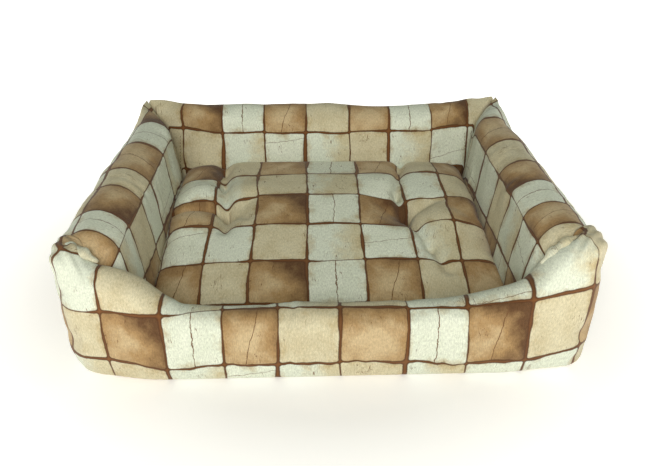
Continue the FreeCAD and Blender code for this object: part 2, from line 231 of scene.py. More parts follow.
def plump(piece, held, pressure, slack, cap):
    """Blows a cover up with slack cloth over its filling, so that it wrinkles as cloth does.
    held(point) says which stitches stay put, from 0 to 1; cap is how far a point may move."""
    mesh = piece.data
    start = [vert.co.copy() for vert in mesh.vertices]
    pins = piece.vertex_groups.new(name="pins")
    for vert in mesh.vertices:
        weight = held(vert.co)
        if weight > 0:
            pins.add([vert.index], min(weight, 1), "REPLACE")
    cloth = piece.modifiers.new("cloth", "CLOTH")
    cloth.settings.quality = 5
    cloth.settings.mass = 0.25
    cloth.settings.tension_stiffness = cloth.settings.compression_stiffness = 12
    cloth.settings.shear_stiffness = 4
    cloth.settings.bending_stiffness = 0.35
    cloth.settings.use_pressure = True
    cloth.settings.uniform_pressure_force = pressure
    cloth.settings.shrink_min = cloth.settings.shrink_max = -slack
    cloth.settings.vertex_group_mass = "pins"
    cloth.settings.effector_weights.gravity = 0
    cloth.point_cache.frame_start = 1
    cloth.point_cache.frame_end = 20
    for frame_number in range(1, 21):
        scene.frame_set(frame_number)
    blown = piece.evaluated_get(bpy.context.evaluated_depsgraph_get())
    moved = [vert.co.copy() for vert in blown.data.vertices]
    piece.modifiers.remove(cloth)
    piece.vertex_groups.remove(pins)
    for vert, before, after in zip(mesh.vertices, start, moved):
        step = after - before
        if step.length > 0:
            step *= cap * math.tanh(step.length / cap) / step.length
        vert.co = before + step
    mesh.update()
    scene.frame_set(1)


def dress(piece, body, material, nodes=(), levels=1):
    """The finish of a piece, the body that it moves with and the frame's nodes it stands for."""
    if levels:
        soften = piece.modifiers.new("soften", "SUBSURF")
        soften.levels = soften.render_levels = levels
    piece.data.materials.clear()
    piece.data.materials.append(material)
    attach(piece, body)
    if nodes:
        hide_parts(*nodes)
    return piece


# ---------------------------------------------------------------- materials
def colour(text):
    """An sRGB hex colour as linear red, green, blue and alpha."""
    parts = [int(text[place:place + 2], 16) / 255 for place in (1, 3, 5)]
    linear = [p / 12.92 if p <= 0.04045 else ((p + 0.055) / 1.055) ** 2.4 for p in parts]
    return (*linear, 1)


def add(tree, kind, *inputs, out=None, **settings):
    """Adds a node. Each input in turn is a link or a number, or None for the node's own."""
    made = tree.nodes.new("ShaderNode" + kind)
    for key, value in settings.items():
        setattr(made, key, value)
    sockets = [socket for socket in made.inputs if socket.enabled]
    for socket, value in zip(sockets, inputs):
        if isinstance(value, bpy.types.NodeSocket):
            tree.links.new(value, socket)
        elif value is not None:
            socket.default_value = value
    if out is not None:
        return made.outputs[out]
    return next((socket for socket in made.outputs if socket.enabled), None)


def printed_canvas():
    """Cotton canvas, screen printed with weathered wooden blocks. Matt, with slubby threads
    that catch the light and a soft fuzz at grazing angles."""
    material = bpy.data.materials.new("cotton_canvas_screen_printed")
    material.use_nodes = True
    tree = material.node_tree
    shader = tree.nodes["Principled BSDF"]
    spot = add(tree, "UVMap", uv_map="print")

    # the blocks are hewn unevenly: a slow wander and a ragged edge move their outlines
    slow = add(tree, "TexNoise", spot, 0.9, 1.0, out="Color", noise_dimensions="2D")
    slow = add(tree, "VectorMath", slow, (0.5, 0.5, 0.5), operation="SUBTRACT")
    slow = add(tree, "VectorMath", slow, (0.10, 0.10, 0.0), operation="MULTIPLY")
    ragged = add(tree, "TexNoise", spot, 7.0, 4.0, 0.6, out="Color", noise_dimensions="2D")
    ragged = add(tree, "VectorMath", ragged, (0.5, 0.5, 0.5), operation="SUBTRACT")
    ragged = add(tree, "VectorMath", ragged, (0.022, 0.022, 0.0), operation="MULTIPLY")
    place = add(tree, "VectorMath", spot, slow, operation="ADD")
    place = add(tree, "VectorMath", place, ragged, operation="ADD")
    cell = add(tree, "VectorMath", place, operation="FLOOR")
    inside = add(tree, "VectorMath", place, cell, operation="SUBTRACT")
    chance = add(tree, "TexWhiteNoise", cell, out="Color", noise_dimensions="2D")
    chance = add(tree, "SeparateXYZ", chance).node.outputs
    inside_xyz = add(tree, "SeparateXYZ", inside).node.outputs
    across, up = inside_xyz[0], inside_xyz[1]
    cell_xyz = add(tree, "SeparateXYZ", cell).node.outputs
    column, row = cell_xyz[0], cell_xyz[1]

    # rounded outlines with gaps of 2 to 8 mm between them
    thick = add(tree, "TexNoise", spot, 1.3, 2.0, noise_dimensions="2D")
    gap = add(tree, "MapRange", thick, 0.35, 0.65, 0.012, 0.034)
    shift = add(tree, "CombineXYZ", chance[1], chance[2], 0.0)
    shift = add(tree, "VectorMath", shift, (0.5, 0.5, 0.0), operation="SUBTRACT")
    shift = add(tree, "VectorMath", shift, (0.03, 0.03, 0.0), operation="MULTIPLY")
    offset = add(tree, "VectorMath", inside, shift, operation="ADD")
    offset = add(tree, "VectorMath", offset, (0.5, 0.5, 0.0), operation="SUBTRACT")
    offset = add(tree, "VectorMath", offset, operation="ABSOLUTE")
    reach = add(tree, "Math", 0.45, gap, operation="SUBTRACT")
    reach = add(tree, "CombineXYZ", reach, reach, 1.0)
    over = add(tree, "VectorMath", offset, reach, operation="SUBTRACT")
    over = add(tree, "VectorMath", over, (0.0, 0.0, 0.0), operation="MAXIMUM")
    outside = add(tree, "VectorMath", over, operation="LENGTH", out="Value")
    groove = add(tree, "MapRange", outside, 0.038, 0.054)

    # how near a point is to its block's edge, for stains and shade
    edge = add(tree, "SeparateXYZ", offset).node.outputs
    edge = add(tree, "Math", edge[0], edge[1], operation="MAXIMUM")
    cloud = add(tree, "TexNoise", spot, 2.6, 6.0, 0.62, noise_dimensions="2D")
    grain = add(tree, "TexNoise", spot, 22.0, 4.0, 0.7, noise_dimensions="2D")

    # every second block of every second row is brown
    odd_column = add(tree, "Math", column, 2.0, operation="FLOORED_MODULO")
    odd_row = add(tree, "Math", row, 2.0, operation="FLOORED_MODULO")
    brown = add(tree, "Math", odd_column, odd_row, operation="MULTIPLY")
    paired = add(tree, "Math", column, 0.5, operation="MULTIPLY")
    paired = add(tree, "Math", paired, operation="FLOOR")
    paired = add(tree, "Math", paired, row, operation="ADD")
    paired = add(tree, "Math", paired, 2.0, operation="FLOORED_MODULO")

    # bleached wood, green-white with cream stains
    side_stain = add(tree, "Math", across, chance[0], operation="SUBTRACT")
    side_stain = add(tree, "Math", side_stain, cloud, operation="ADD")
    side_stain = add(tree, "MapRange", side_stain, 0.45, 0.95)
    plain = add(tree, "Mix", side_stain, colour("#D7DBC8"), colour("#CBC19F"), data_type="RGBA")
    white = add(tree, "Mix", cloud, colour("#E6E8D6"), colour("#CDD2BC"), data_type="RGBA")
    cream = add(tree, "Mix", cloud, colour("#DAD2B4"), colour("#BDAE88"), data_type="RGBA")
    even_row = add(tree, "Math", 1.0, odd_row, operation="SUBTRACT")
    paired = add(tree, "Math", paired, even_row, operation="SUBTRACT")
    paired = add(tree, "Math", paired, operation="ABSOLUTE")
    lively = add(tree, "Mix", paired, cream, white, data_type="RGBA")
    lively_here = add(tree, "Math", odd_row, odd_column, operation="MAXIMUM")
    light = add(tree, "Mix", lively_here, plain, lively, data_type="RGBA")
    worn_edge = add(tree, "Math", edge, cloud, operation="MULTIPLY")
    worn_edge = add(tree, "MapRange", worn_edge, 0.20, 0.33, 0.0, 0.72)
    light = add(tree, "Mix", worn_edge, light, colour("#B09767"), data_type="RGBA")

    # warm brown wood, darker along its edges and at one end
    deep = add(tree, "Math", across, chance[1], operation="MULTIPLY")
    top_shade = add(tree, "Math", up, 0.35, operation="MULTIPLY")
    deep = add(tree, "Math", deep, top_shade, operation="ADD")
    deep = add(tree, "Math", deep, edge, operation="ADD")
    soft_cloud = add(tree, "Math", cloud, 0.75, operation="MULTIPLY")
    deep = add(tree, "Math", deep, soft_cloud, operation="ADD")
    deep = add(tree, "MapRange", deep, 0.72, 1.55)
    tan = add(tree, "ValToRGB", deep)
    ramp = tan.node.color_ramp
    ramp.elements[0].color = colour("#C6AE86")
    ramp.elements[1].color = colour("#5F4023")
    ramp.elements.new(0.42).color = colour("#A68558")
    wood = add(tree, "Mix", brown, light, tan, data_type="RGBA")

    # fine grain, fibres that run with the wood, and specks over everything
    speck = add(tree, "MapRange", grain, 0.3, 0.72, 1.07, 0.88)
    wood = add(tree, "VectorMath", wood, speck, operation="SCALE")
    fibre = add(tree, "VectorMath", spot, (52.0, 17.0, 1.0), operation="MULTIPLY")
    fibre = add(tree, "TexNoise", fibre, 1.0, 4.0, 0.75, noise_dimensions="2D")
    fibre = add(tree, "MapRange", fibre, 0.32, 0.68, 1.13, 0.82)
    wood = add(tree, "VectorMath", wood, fibre, operation="SCALE")

    # cracks: one long one in half the lively blocks, and short checks that follow the grain
    wobble = add(tree, "TexNoise", spot, 5.0, 3.0, 0.6, noise_dimensions="2D")
    wobble = add(tree, "Math", wobble, 0.08, operation="MULTIPLY")
    lean = add(tree, "Math", brown, 0.26, operation="MULTIPLY")
    lean = add(tree, "Math", lean, up, operation="MULTIPLY")
    long_line = add(tree, "Math", across, lean, operation="SUBTRACT")
    long_line = add(tree, "Math", long_line, wobble, operation="ADD")
    home = add(tree, "Math", brown, -0.10, operation="MULTIPLY")
    home = add(tree, "Math", home, 0.54, operation="ADD")
    long_line = add(tree, "Math", long_line, home, operation="SUBTRACT")
    long_line = add(tree, "Math", long_line, operation="ABSOLUTE")
    long_line = add(tree, "MapRange", long_line, 0.004, 0.011, 1.0, 0.0)
    long_line = add(tree, "Math", long_line, odd_row, operation="MULTIPLY")
    long_line = add(tree, "Math", long_line, paired, operation="MULTIPLY")

    level_line = add(tree, "Math", across, 0.13, operation="MULTIPLY")
    level_line = add(tree, "Math", up, level_line, operation="SUBTRACT")
    level_line = add(tree, "Math", level_line, wobble, operation="ADD")
    level_line = add(tree, "Math", level_line, chance[2], operation="SUBTRACT")
    level_line = add(tree, "Math", level_line, operation="ABSOLUTE")
    level_line = add(tree, "MapRange", level_line, 0.003, 0.009, 0.8, 0.0)
    level_line = add(tree, "Math", level_line, even_row, operation="MULTIPLY")
    level_line = add(tree, "Math", level_line, paired, operation="MULTIPLY")
    level_line = add(tree, "Math", level_line, odd_column, operation="MULTIPLY")

    stretched = add(tree, "VectorMath", spot, (8.6, 1.3, 1.0), operation="MULTIPLY")
    checks = add(tree, "TexNoise", stretched, 1.0, 2.0, out="Fac", noise_dimensions="2D")
    checks = add(tree, "Math", checks, 0.5, operation="SUBTRACT")
    checks = add(tree, "Math", checks, operation="ABSOLUTE")
    checks = add(tree, "MapRange", checks, 0.002, 0.009, 1.0, 0.0)
    checked = add(tree, "TexNoise", spot, 3.1, 2.0, noise_dimensions="2D")
    checked = add(tree, "MapRange", checked, 0.57, 0.63, 0.0, 0.85)
    checks = add(tree, "Math", checks, checked, operation="MULTIPLY")
    cracks = add(tree, "Math", long_line, level_line, operation="MAXIMUM")
    cracks = add(tree, "Math", cracks, checks, operation="MAXIMUM")
    wood = add(tree, "Mix", cracks, wood, colour("#6B4A2B"), data_type="RGBA")

    # grooves between the blocks: dark rims and a lighter brown middle
    depth = add(tree, "ValToRGB", add(tree, "MapRange", outside, 0.045, 0.095))
    ramp = depth.node.color_ramp
    ramp.elements[0].color = colour("#4A2B13")
    ramp.elements[1].color = colour("#774B24")
    face = add(tree, "Mix", groove, wood, depth, data_type="RGBA")

    # the weave, drawn 2.5 times coarser than its 1 mm threads so that it shows
    threads = add(tree, "VectorMath", spot, (36.0, 36.0, 1.0), operation="MULTIPLY")
    slub = add(tree, "TexNoise", threads, 0.35, 3.0, out="Color", noise_dimensions="2D")
    slub = add(tree, "VectorMath", slub, (0.9, 0.9, 0.0), operation="MULTIPLY")
    threads = add(tree, "VectorMath", threads, slub, operation="ADD")
    threads = add(tree, "VectorMath", threads, (6.28318, 6.28318, 1.0), operation="MULTIPLY")
    threads = add(tree, "VectorMath", threads, operation="SINE")
    threads = add(tree, "SeparateXYZ", threads).node.outputs
    weave = add(tree, "Math", threads[0], threads[1], operation="MULTIPLY")
    lit = add(tree, "MapRange", weave, -1.0, 1.0, 0.93, 1.05)
    face = add(tree, "VectorMath", face, lit, operation="SCALE")
    tree.links.new(face, shader.inputs["Base Color"])

    relief = add(tree, "Math", weave, grain, operation="ADD")
    bump = add(tree, "Bump", 0.35, 0.35 * MM, None, relief)
    tree.links.new(bump, shader.inputs["Normal"])
    rough = add(tree, "MapRange", grain, 0.3, 0.7, 0.74, 0.9)
    tree.links.new(rough, shader.inputs["Roughness"])
    shader.inputs["Specular IOR Level"].default_value = 0.3
    shader.inputs["Sheen Weight"].default_value = 0.12
    shader.inputs["Sheen Roughness"].default_value = 0.5
    return material


def plain_cloth(name, warp, weft, spacing, rough):
    """A plain woven cloth: crossed threads of two shades, with a soft matt surface."""
    material = bpy.data.materials.new(name)
    material.use_nodes = True
    tree = material.node_tree
    shader = tree.nodes["Principled BSDF"]
    where = add(tree, "TexCoord", out="Object")
    turns = 6.28318 / spacing
    threads = add(tree, "VectorMath", where, (turns, turns, turns), operation="MULTIPLY")
    threads = add(tree, "VectorMath", threads, operation="SINE")
    threads = add(tree, "SeparateXYZ", threads).node.outputs
    weave = add(tree, "Math", threads[0], threads[1], operation="MULTIPLY")
    weave = add(tree, "Math", weave, threads[2], operation="ADD")
    fuzz = add(tree, "TexNoise", where, 160.0, 4.0, 0.6)
    shade = add(tree, "Math", weave, fuzz, operation="MULTIPLY")
    shade = add(tree, "MapRange", shade, -0.8, 0.8)
    face = add(tree, "Mix", shade, colour(warp), colour(weft), data_type="RGBA")
    tree.links.new(face, shader.inputs["Base Color"])
    bump = add(tree, "Bump", 0.4, 0.3 * MM, None, weave)
    tree.links.new(bump, shader.inputs["Normal"])
    shader.inputs["Roughness"].default_value = rough
    shader.inputs["Specular IOR Level"].default_value = 0.3
    shader.inputs["Sheen Weight"].default_value = 0.15
    return material


canvas = printed_canvas()
base_cloth = plain_cloth("polyester_oxford_woven", "#8B8272", "#6F6758", 1.6 * MM, 0.8)
wadding = plain_cloth("polyester_wadding_lofted", "#EFEDE6", "#DAD7CD", 6 * MM, 0.95)
thread = plain_cloth("polyester_thread_spun", "#7A5632", "#5A3D20", 0.9 * MM, 0.6)
ribbon = plain_cloth("polyester_ribbon_woven", "#274B4A", "#16302F", 1.2 * MM, 0.55)


# ---------------------------------------------------------------- back wall
BACK_LINES = (-305, -216, -127, -38, 57, 142, 233, 318)
BACK_RIDGE = ((-0.36, 0.242), (-0.2, 0.243), (0.0, 0.242), (0.05, 0.239), (0.1, 0.235),
              (0.16, 0.236), (0.25, 0.239), (0.34, 0.242))
BACK_SEAM_HEIGHT = 190 * MM                         # a printed line runs along here inside


def back_section(x):
    height = along(BACK_RIDGE, x) + 1.5 * MM * lumps((x, 0, 0), 50 * MM, 3)
    return wall_cut(height, smooth(abs(x), SIDE - 120 * MM, SIDE - 6 * MM), x)


def back_place(columns):
    def place(column, row):
        share = 2 * column / columns - 1
        chain, lengths = back_section(share * SIDE)
        inward, up = chain[row]
        x = share * (SIDE - inward)
        line = next(k for k in range(RIDGE_ROW, SECTION_ROWS) if chain[k].y < BACK_SEAM_HEIGHT)
        short = (BACK_SEAM_HEIGHT - chain[line].y) / (chain[line - 1].y - chain[line].y)
        above = (mix(lengths[line], lengths[line - 1], short) - lengths[row]) / BLOCK
        return Vector((x, BACK - inward, up)), (printed(BACK_LINES, x) + 3, above + 1)
    return place


def stuffing(seed, run, low=3.2 * MM, fine=1.6 * MM, pleat=2.8 * MM):
    """Lumps in the filling of one wall, low ones a hand wide and fine ones a thumb wide, and
    slack pleats that cross its run."""
    def push(point):
        spread = Vector((point.x / (16 if run == "x" else 75), point.y / (75 if run == "x" else 16),
                         point.z / 75)) / MM
        folds = noise.noise(spread + Vector((seed, 0, 0)))
        where = smooth(lumps(point, 90 * MM, seed + 9), -0.2, 0.4)
        mitre = abs((SIDE - abs(point.x)) - (BACK - point.y))
        free = smooth(mitre, 0, 30 * MM) * smooth(point.z, 2 * MM, 20 * MM)
        return free * (low * lumps(point, 120 * MM, seed) + fine * lumps(point, 38 * MM, seed + 5)
                       + pleat * where * folds * abs(folds) * 2.4)
    return push


def wall_held(point):
    """The stitches of a wall that stay put: along the floor and up the mitred corners."""
    low = 1 - smooth(point.z, 4 * MM, 30 * MM)
    mitre = abs((SIDE - abs(point.x)) - (BACK - point.y))
    return max(low, 1 - smooth(mitre, 2 * MM, 16 * MM), 1 - smooth(point.y - FRONT, 50 * MM, 60 * MM))


BACK_COLUMNS = 112
back_wall = sew("back_wall", BACK_COLUMNS, SECTION_ROWS, back_place(BACK_COLUMNS),
                stuffing(11, "x"))
plump(back_wall, wall_held, 1.6, 0.035, 5 * MM)
dress(back_wall, "surround", canvas,
      ("back_wall_cover", "back_wall_wadding", "back_wall_foam"))

# ---------------------------------------------------------------- side walls
LEFT_LINES = (198, 84, -42, -110, -197, -256)
RIGHT_LINES = (206, 72, -31, -110, -188, -254)
OUTER_LINE = 44 * MM                                # cloth from the outer face to the outer line
RIDGE_BLOCK = 81 * MM                               # and from there to the inner line
SIDE_END = -292 * MM                                # where a side wall meets the front corner
SIDE_RIDGE = ((-0.292, 0.213), (-0.25, 0.223), (-0.15, 0.231), (0.0, 0.235), (0.15, 0.236),
              (0.30, 0.239), (0.33, PEAK))


def side_section(hand, y):
    height = along(SIDE_RIDGE, y) + 1.8 * MM * lumps((y, hand, 0), 70 * MM, 8)
    near = smooth(y, BACK - 120 * MM, BACK - 6 * MM)
    return wall_cut(height, near, hand, bulge=5 * MM, lean=7 * MM)


def side_place(hand, lines, step, columns):
    def place(column, row):
        ratio = 1 - column / columns
        chain, lengths = side_section(hand, mix(SIDE_END, BACK, ratio))
        inward, up = chain[row]
        y = mix(SIDE_END, BACK - inward, ratio)
        # the front end is closed like the end of a bolster
        end = 1 - smooth(y, SIDE_END, SIDE_END + 34 * MM)
        middle = Vector((44 * MM, 100 * MM))
        inward = mix(inward, middle.x, 0.35 * end**2)
        up = mix(up, min(up, middle.y + 0.82 * (up - middle.y)), end**2)
        even = (lines[0] * MM - y) / (93 * MM)
        u = mix(even, printed(lines, y), 1 - smooth(abs(row - RIDGE_ROW - 2), 16, 26))
        over = lengths[row] - lengths[OUTER_ROW] - OUTER_LINE
        v = over / (RIDGE_BLOCK if 0 < over < RIDGE_BLOCK else BLOCK)
        if over > RIDGE_BLOCK:
            v += 1 - RIDGE_BLOCK / BLOCK
        return Vector((hand * (SIDE - inward), y, up)), (u + step, v + 1)
    return place


SIDE_COLUMNS = 92
for hand, name, lines, step in ((-1, "left_wall", LEFT_LINES, 0),
                                (1, "right_wall", RIGHT_LINES, 1)):
    wall = sew(name, SIDE_COLUMNS, SECTION_ROWS, side_place(hand, lines, step, SIDE_COLUMNS),
               stuffing(20 + hand, "y"))
    plump(wall, wall_held, 1.6, 0.035, 5 * MM)
    dress(wall, "surround", canvas,
          (f"{name}_cover", f"{name}_wadding", f"{name}_foam"))

# ---------------------------------------------------------------- front wall
FRONT_LINES = (-392, -329, -245, -160, -81, 13, 111, 201, 289, 375)
FRONT_RIDGE = ((-0.400, 0.220), (-0.371, 0.218), (-0.328, 0.190), (-0.277, 0.166), (-0.239, 0.130),
               (-0.178, 0.114), (0.0, 0.111), (0.104, 0.113), (0.194, 0.123), (0.282, 0.151),
               (0.315, 0.196), (0.355, 0.223), (0.400, 0.224))
# the two printed lines along the front: how high the lower one is, and the blocks' height
LOW_LINE = ((-0.40, 0.047), (-0.334, 0.044), (-0.251, 0.029), (-0.16, 0.032), (0.0, 0.033),
            (0.112, 0.030), (0.204, 0.026), (0.293, 0.033), (0.372, 0.046))
TALL = ((-0.34, 0.085), (-0.2, 0.092), (0.1, 0.092), (0.2, 0.098), (0.28, 0.102), (0.36, 0.107))

TURN = 46 * MM                                      # radius of the front corners, seen from above
PIVOT = Vector((CORNER - TURN, FRONT + TURN + 6 * MM))


def front_run():
    """The front panel's path round the foot of the bed, seen from above, from left to right."""
    right = arc((CORNER - TURN, FRONT + TURN), TURN, -90, 0, 16)
    right += [Vector((CORNER - 1 * MM, FRONT + TURN + 14 * MM)), Vector((CORNER - 5 * MM, -250 * MM))]
    left = [Vector((-point.x, point.y)) for point in reversed(right)]
    return left + right


FRONT_COLUMNS = 132
front_points = spaced(front_run(), FRONT_COLUMNS)
front_reach = [0]
for start, stop in zip(front_points, front_points[1:]):
    front_reach.append(front_reach[-1] + (stop - start).length)


def front_place(column, row):
    spot = front_points[column]
    reach = front_reach[column] - front_reach[-1] / 2
    hand = -1 if spot.x < 0 else 1
    near = smooth(abs(spot.x), 0.25, CORNER - TURN)
    width = mix(FRONT_WALL, 46 * MM, near)
    if abs(spot.x) > CORNER - TURN:
        pivot = Vector((hand * PIVOT.x, PIVOT.y))
        inward = pivot - spot
        room = inward.length / width
        inward.normalize()
    else:
        inward = Vector((0, 1))
        room = 1
    height = along(FRONT_RIDGE, spot.x) + 1.2 * MM * lumps((spot.x, 0, 0), 60 * MM, 31)
    ridge = mix(28 * MM, 22 * MM, near)
    tuck = (11 * MM if hand < 0 else 2 * MM) * smooth(abs(spot.x), 0.27, 0.39)
    chain, lengths = section(height, width, ridge=ridge, foot=11 * MM, bulge=2 * MM,
                             lean=-mix(7 * MM, 0, near))
    depth, up = chain[row]
    depth += tuck * (1 - smooth(up, 0, 58 * MM)) * (1 - smooth(depth, 0, width))
    flat = spot + inward * (depth * room if depth > 0 else depth)
    low = along(LOW_LINE, spot.x) - FOOT + 4 * MM
    tall = along(TALL, spot.x)
    v = (lengths[row] - low) / tall
    if v > 1:
        v = 1 + (lengths[row] - low - tall) / BLOCK
    return Vector((flat.x, flat.y, up)), (printed(FRONT_LINES, reach) + 2, v + 1)


def front_held(point):
    low = 1 - smooth(point.z, 4 * MM, 26 * MM)
    ends = smooth(abs(point.x), 0.33, 0.35) * smooth(point.y, FRONT + 34 * MM, FRONT + 44 * MM)
    return max(low, ends)


# the front wall is filled more evenly than the others
front_stuffing = stuffing(41, "x", low=2.4 * MM, fine=1.3 * MM, pleat=2.0 * MM)


def front_push(point):
    """The filling of the front wall, and the gathers where its cloth turns in at the corners."""
    gathered = smooth(abs(point.x), 0.325, 0.365) * smooth(point.z, 0.150, 0.200)
    wave = math.sin(math.tau * (abs(point.x) - point.y) / (21 * MM) + 0.4 * math.copysign(1, point.x))
    return front_stuffing(point) + 2.2 * MM * gathered * wave


front_wall = sew("front_wall", FRONT_COLUMNS, SECTION_ROWS, front_place, front_push)
plump(front_wall, front_held, 1.2, 0.03, 4 * MM)
dress(front_wall, "surround", canvas,
      ("front_wall_cover", "front_wall_wadding", "front_wall_foam"))

# folded lips of cloth where the front panel is sewn to the ends of the side walls
CORNER_FOLDS = (("left_corner_fold", (4.2, 2.2), 9.5, ((-386, -282, 213), (-371, -291, 214),
                                                  (-352, -296, 207), (-331, -297, 191))),
                ("right_corner_fold", (12.2, 2.2), 8.5, ((304, -300, 178), (321, -299, 197),
                                                    (339, -296, 212), (358, -288, 217))))
FOLD_COLUMNS, FOLD_ROWS = 40, 20


def fold_place(points, thick, print_spot):
    spine = spaced([Vector(point) * MM for point in points], FOLD_COLUMNS)

    def place(column, row):
        share = column / FOLD_COLUMNS
        ahead = spine[min(column + 3, FOLD_COLUMNS)] - spine[max(column - 3, 0)]
        side = ahead.cross(Vector((0, 0, 1))).normalized()
        over = side.cross(ahead).normalized()
        size = thick * MM * max(math.sin(math.pi * share), 0)**0.55
        size *= 1 + 0.22 * math.sin(17 * share + thick)
        angle = math.tau * row / FOLD_ROWS
        spot = spine[column] + size * (side * math.cos(angle) + 0.72 * over * math.sin(angle))
        return spot, (print_spot[0] + 0.6 * share, print_spot[1] + 0.5 * row / FOLD_ROWS)
    return place


for name, print_spot, thick, points in CORNER_FOLDS:
    fold = sew(name, FOLD_COLUMNS, FOLD_ROWS, fold_place(points, thick, print_spot),
               lambda point: 1.2 * MM * lumps(point, 12 * MM, 61), close=False)
    dress(fold, "surround", canvas)

# ---------------------------------------------------------------- cushion
CUSHION_COLUMNS = (-294, -214, -134, -36, 63, 154, 232, 302)
CUSHION_ROWS = (-228, -130, -45, 42, 131, 219)
CROWN = ((-0.250, 0.050), (-0.215, 0.060), (-0.135, 0.080), (-0.050, 0.105), (0.039, 0.122),
         (0.129, 0.127), (0.200, 0.126), (0.246, 0.120))
SEAM = ((-0.250, 0.044), (-0.1, 0.064), (0.1, 0.080), (0.246, 0.088))
LEFT_TUFT = Vector((tie_left.x, tie_left.y))
RIGHT_TUFT = Vector((tie_right.x, tie_right.y))
# creases that run from the tufts: from, to, depth and half width, all in millimetres
CREASES = (((-190, 16), (-203, 110), 14, 12), ((-203, 110), (-208, 190), 12, 16),
           ((-208, 190), (-216, 240), 10, 20), ((-190, 16), (-188, -52), 12, 12),
           ((-190, 16), (-225, 24), 9, 10), ((-225, 24), (-285, 22), 7, 10),
           ((-190, 16), (-150, -16), 4, 12), ((150, -8), (141, 68), 13, 11),
           ((141, 68), (160, 185), 11, 15), ((160, 185), (166, 240), 9, 20),
           ((150, -8), (184, -96), 11, 12), ((184, -96), (206, -154), 7, 13),
           ((150, -8), (200, 30), 6, 11), ((150, -8), (104, 30), 4, 9))
PUFFS = ((-242, 74, 16, 36), (-250, -20, 9, 38), (215, 130, 9, 44), (222, -30, 11, 38),
         (-20, 60, 5, 110), (-152, 70, 8, 34), (105, 100, 7, 36))


CUSHION_HALF = Vector((305 * MM, 248 * MM))
CUSHION_MIDDLE = -3 * MM
CUSHION_CORNER = 38 * MM
STEEP = (290 * MM, 234 * MM)                        # the sides turn down to the seam beyond this


def rounded(a, b, half, corner):
    """A point of a square from -1 to 1, moved onto a rectangle with round corners."""
    ring = max(abs(a), abs(b))
    if ring == 0:
        return Vector((0, 0))
    x, y = a / ring * half.x, b / ring * half.y
    inner = Vector((half.x - corner, half.y - corner))
    past = Vector((abs(x) - inner.x, abs(y) - inner.y))
    if past.x > 0 and past.y > 0:
        past = past.normalized() * corner
        x = math.copysign(inner.x + past.x, x)
        y = math.copysign(inner.y + past.y, y)
    return Vector((x, y)) * ring


def valley(point, start, stop):
    """Distance from a crease, and how far along it."""
    line = stop - start
    share = min(max((point - start).dot(line) / line.length_squared, 0), 1)
    return (point - start - line * share).length, share


def round_off(distance, roll):
    """How far a stuffed edge has risen at a distance inside it: a quarter circle, then 1."""
    return math.sqrt(max(0, 1 - (1 - min(max(distance / roll, 0), 1))**2))


def inside(x, y, half, middle_y, corner):
    """How far a point is inside a rectangle with round corners."""
    past = Vector((abs(x) - half.x + corner, abs(y - middle_y) - half.y + corner))
    out = Vector((max(past.x, 0), max(past.y, 0))).length + min(max(past.x, past.y), 0)
    return max(corner - out, 0)


def cushion_rise(x, y):
    rim = round_off(inside(x, y, CUSHION_HALF, CUSHION_MIDDLE, CUSHION_CORNER), 14 * MM)
    return (rim * round_off(CUSHION_HALF.x - abs(x), 44 * MM)
            * round_off(CUSHION_HALF.y + CUSHION_MIDDLE - y, 34 * MM)
            * round_off(y + CUSHION_HALF.y - CUSHION_MIDDLE, 72 * MM))


def cushion_top(x, y):
    spot = Vector((x, y))
    rise = cushion_rise(x, y)
    crown = along(CROWN, y) - 8 * MM * smooth(abs(x), 0.16, 0.30)
    up = mix(along(SEAM, y), crown, min(rise, 1))
    for tuft in (LEFT_TUFT, RIGHT_TUFT):
        up -= 14 * MM * rise * math.exp(-((spot - tuft).length / (13 * MM))**2)
        up -= 7 * MM * rise * math.exp(-((spot - tuft).length / (52 * MM))**2)
    for start, stop, depth, half in CREASES:
        away, share = valley(spot, Vector(start) * MM, Vector(stop) * MM)
        fold = math.exp(-abs(away / (0.72 * half * MM))**1.6)
        up -= 1.8 * depth * MM * rise * (1 - 0.3 * share) * fold
    for px, py, tall, wide in PUFFS:
        away = (spot - Vector((px, py)) * MM).length
        up += tall * MM * rise * math.exp(-(away / (wide * MM))**2)
    return up


def along_seam(x, y):
    return along(SEAM, y)


PAD_HALF = Vector((pad_high.x - 1 * MM, (pad_high.y - pad_low.y) / 2 - 1 * MM))
PAD_MIDDLE = (pad_high.y + pad_low.y) / 2


def pad_edge(x, y):
    """How near a point is to the pad's edge, where its two faces meet: 0 inside, 1 at the edge."""
    near = inside(x, y, PAD_HALF, PAD_MIDDLE, 14 * MM)
    return 1 - round_off(near, 10 * MM)


def cushion_under(x, y):
    drop = round_off(inside(x, y, CUSHION_HALF, CUSHION_MIDDLE, CUSHION_CORNER), 40 * MM)
    return mix(along(SEAM, y), pillow_foot + 0.6 * MM, drop)


def print_spot(x, y, height, lines):
    """Where a point of a cushion's panel falls on the print, which follows the cloth down the
    steep sides to the seam."""
    level_x = max(min(x, STEEP[0]), -STEEP[0])
    level_y = max(min(y, STEEP[1]), -STEEP[1])
    fall = Vector((x - level_x, y - level_y, height(x, y) - height(level_x, level_y))).length
    u, v = printed(lines[0], level_x), printed(lines[1], level_y)
    if x != level_x:
        u += math.copysign(fall / BLOCK, x)
    if y != level_y:
        v += math.copysign(fall / BLOCK, y)
    return u + 1, v + 1


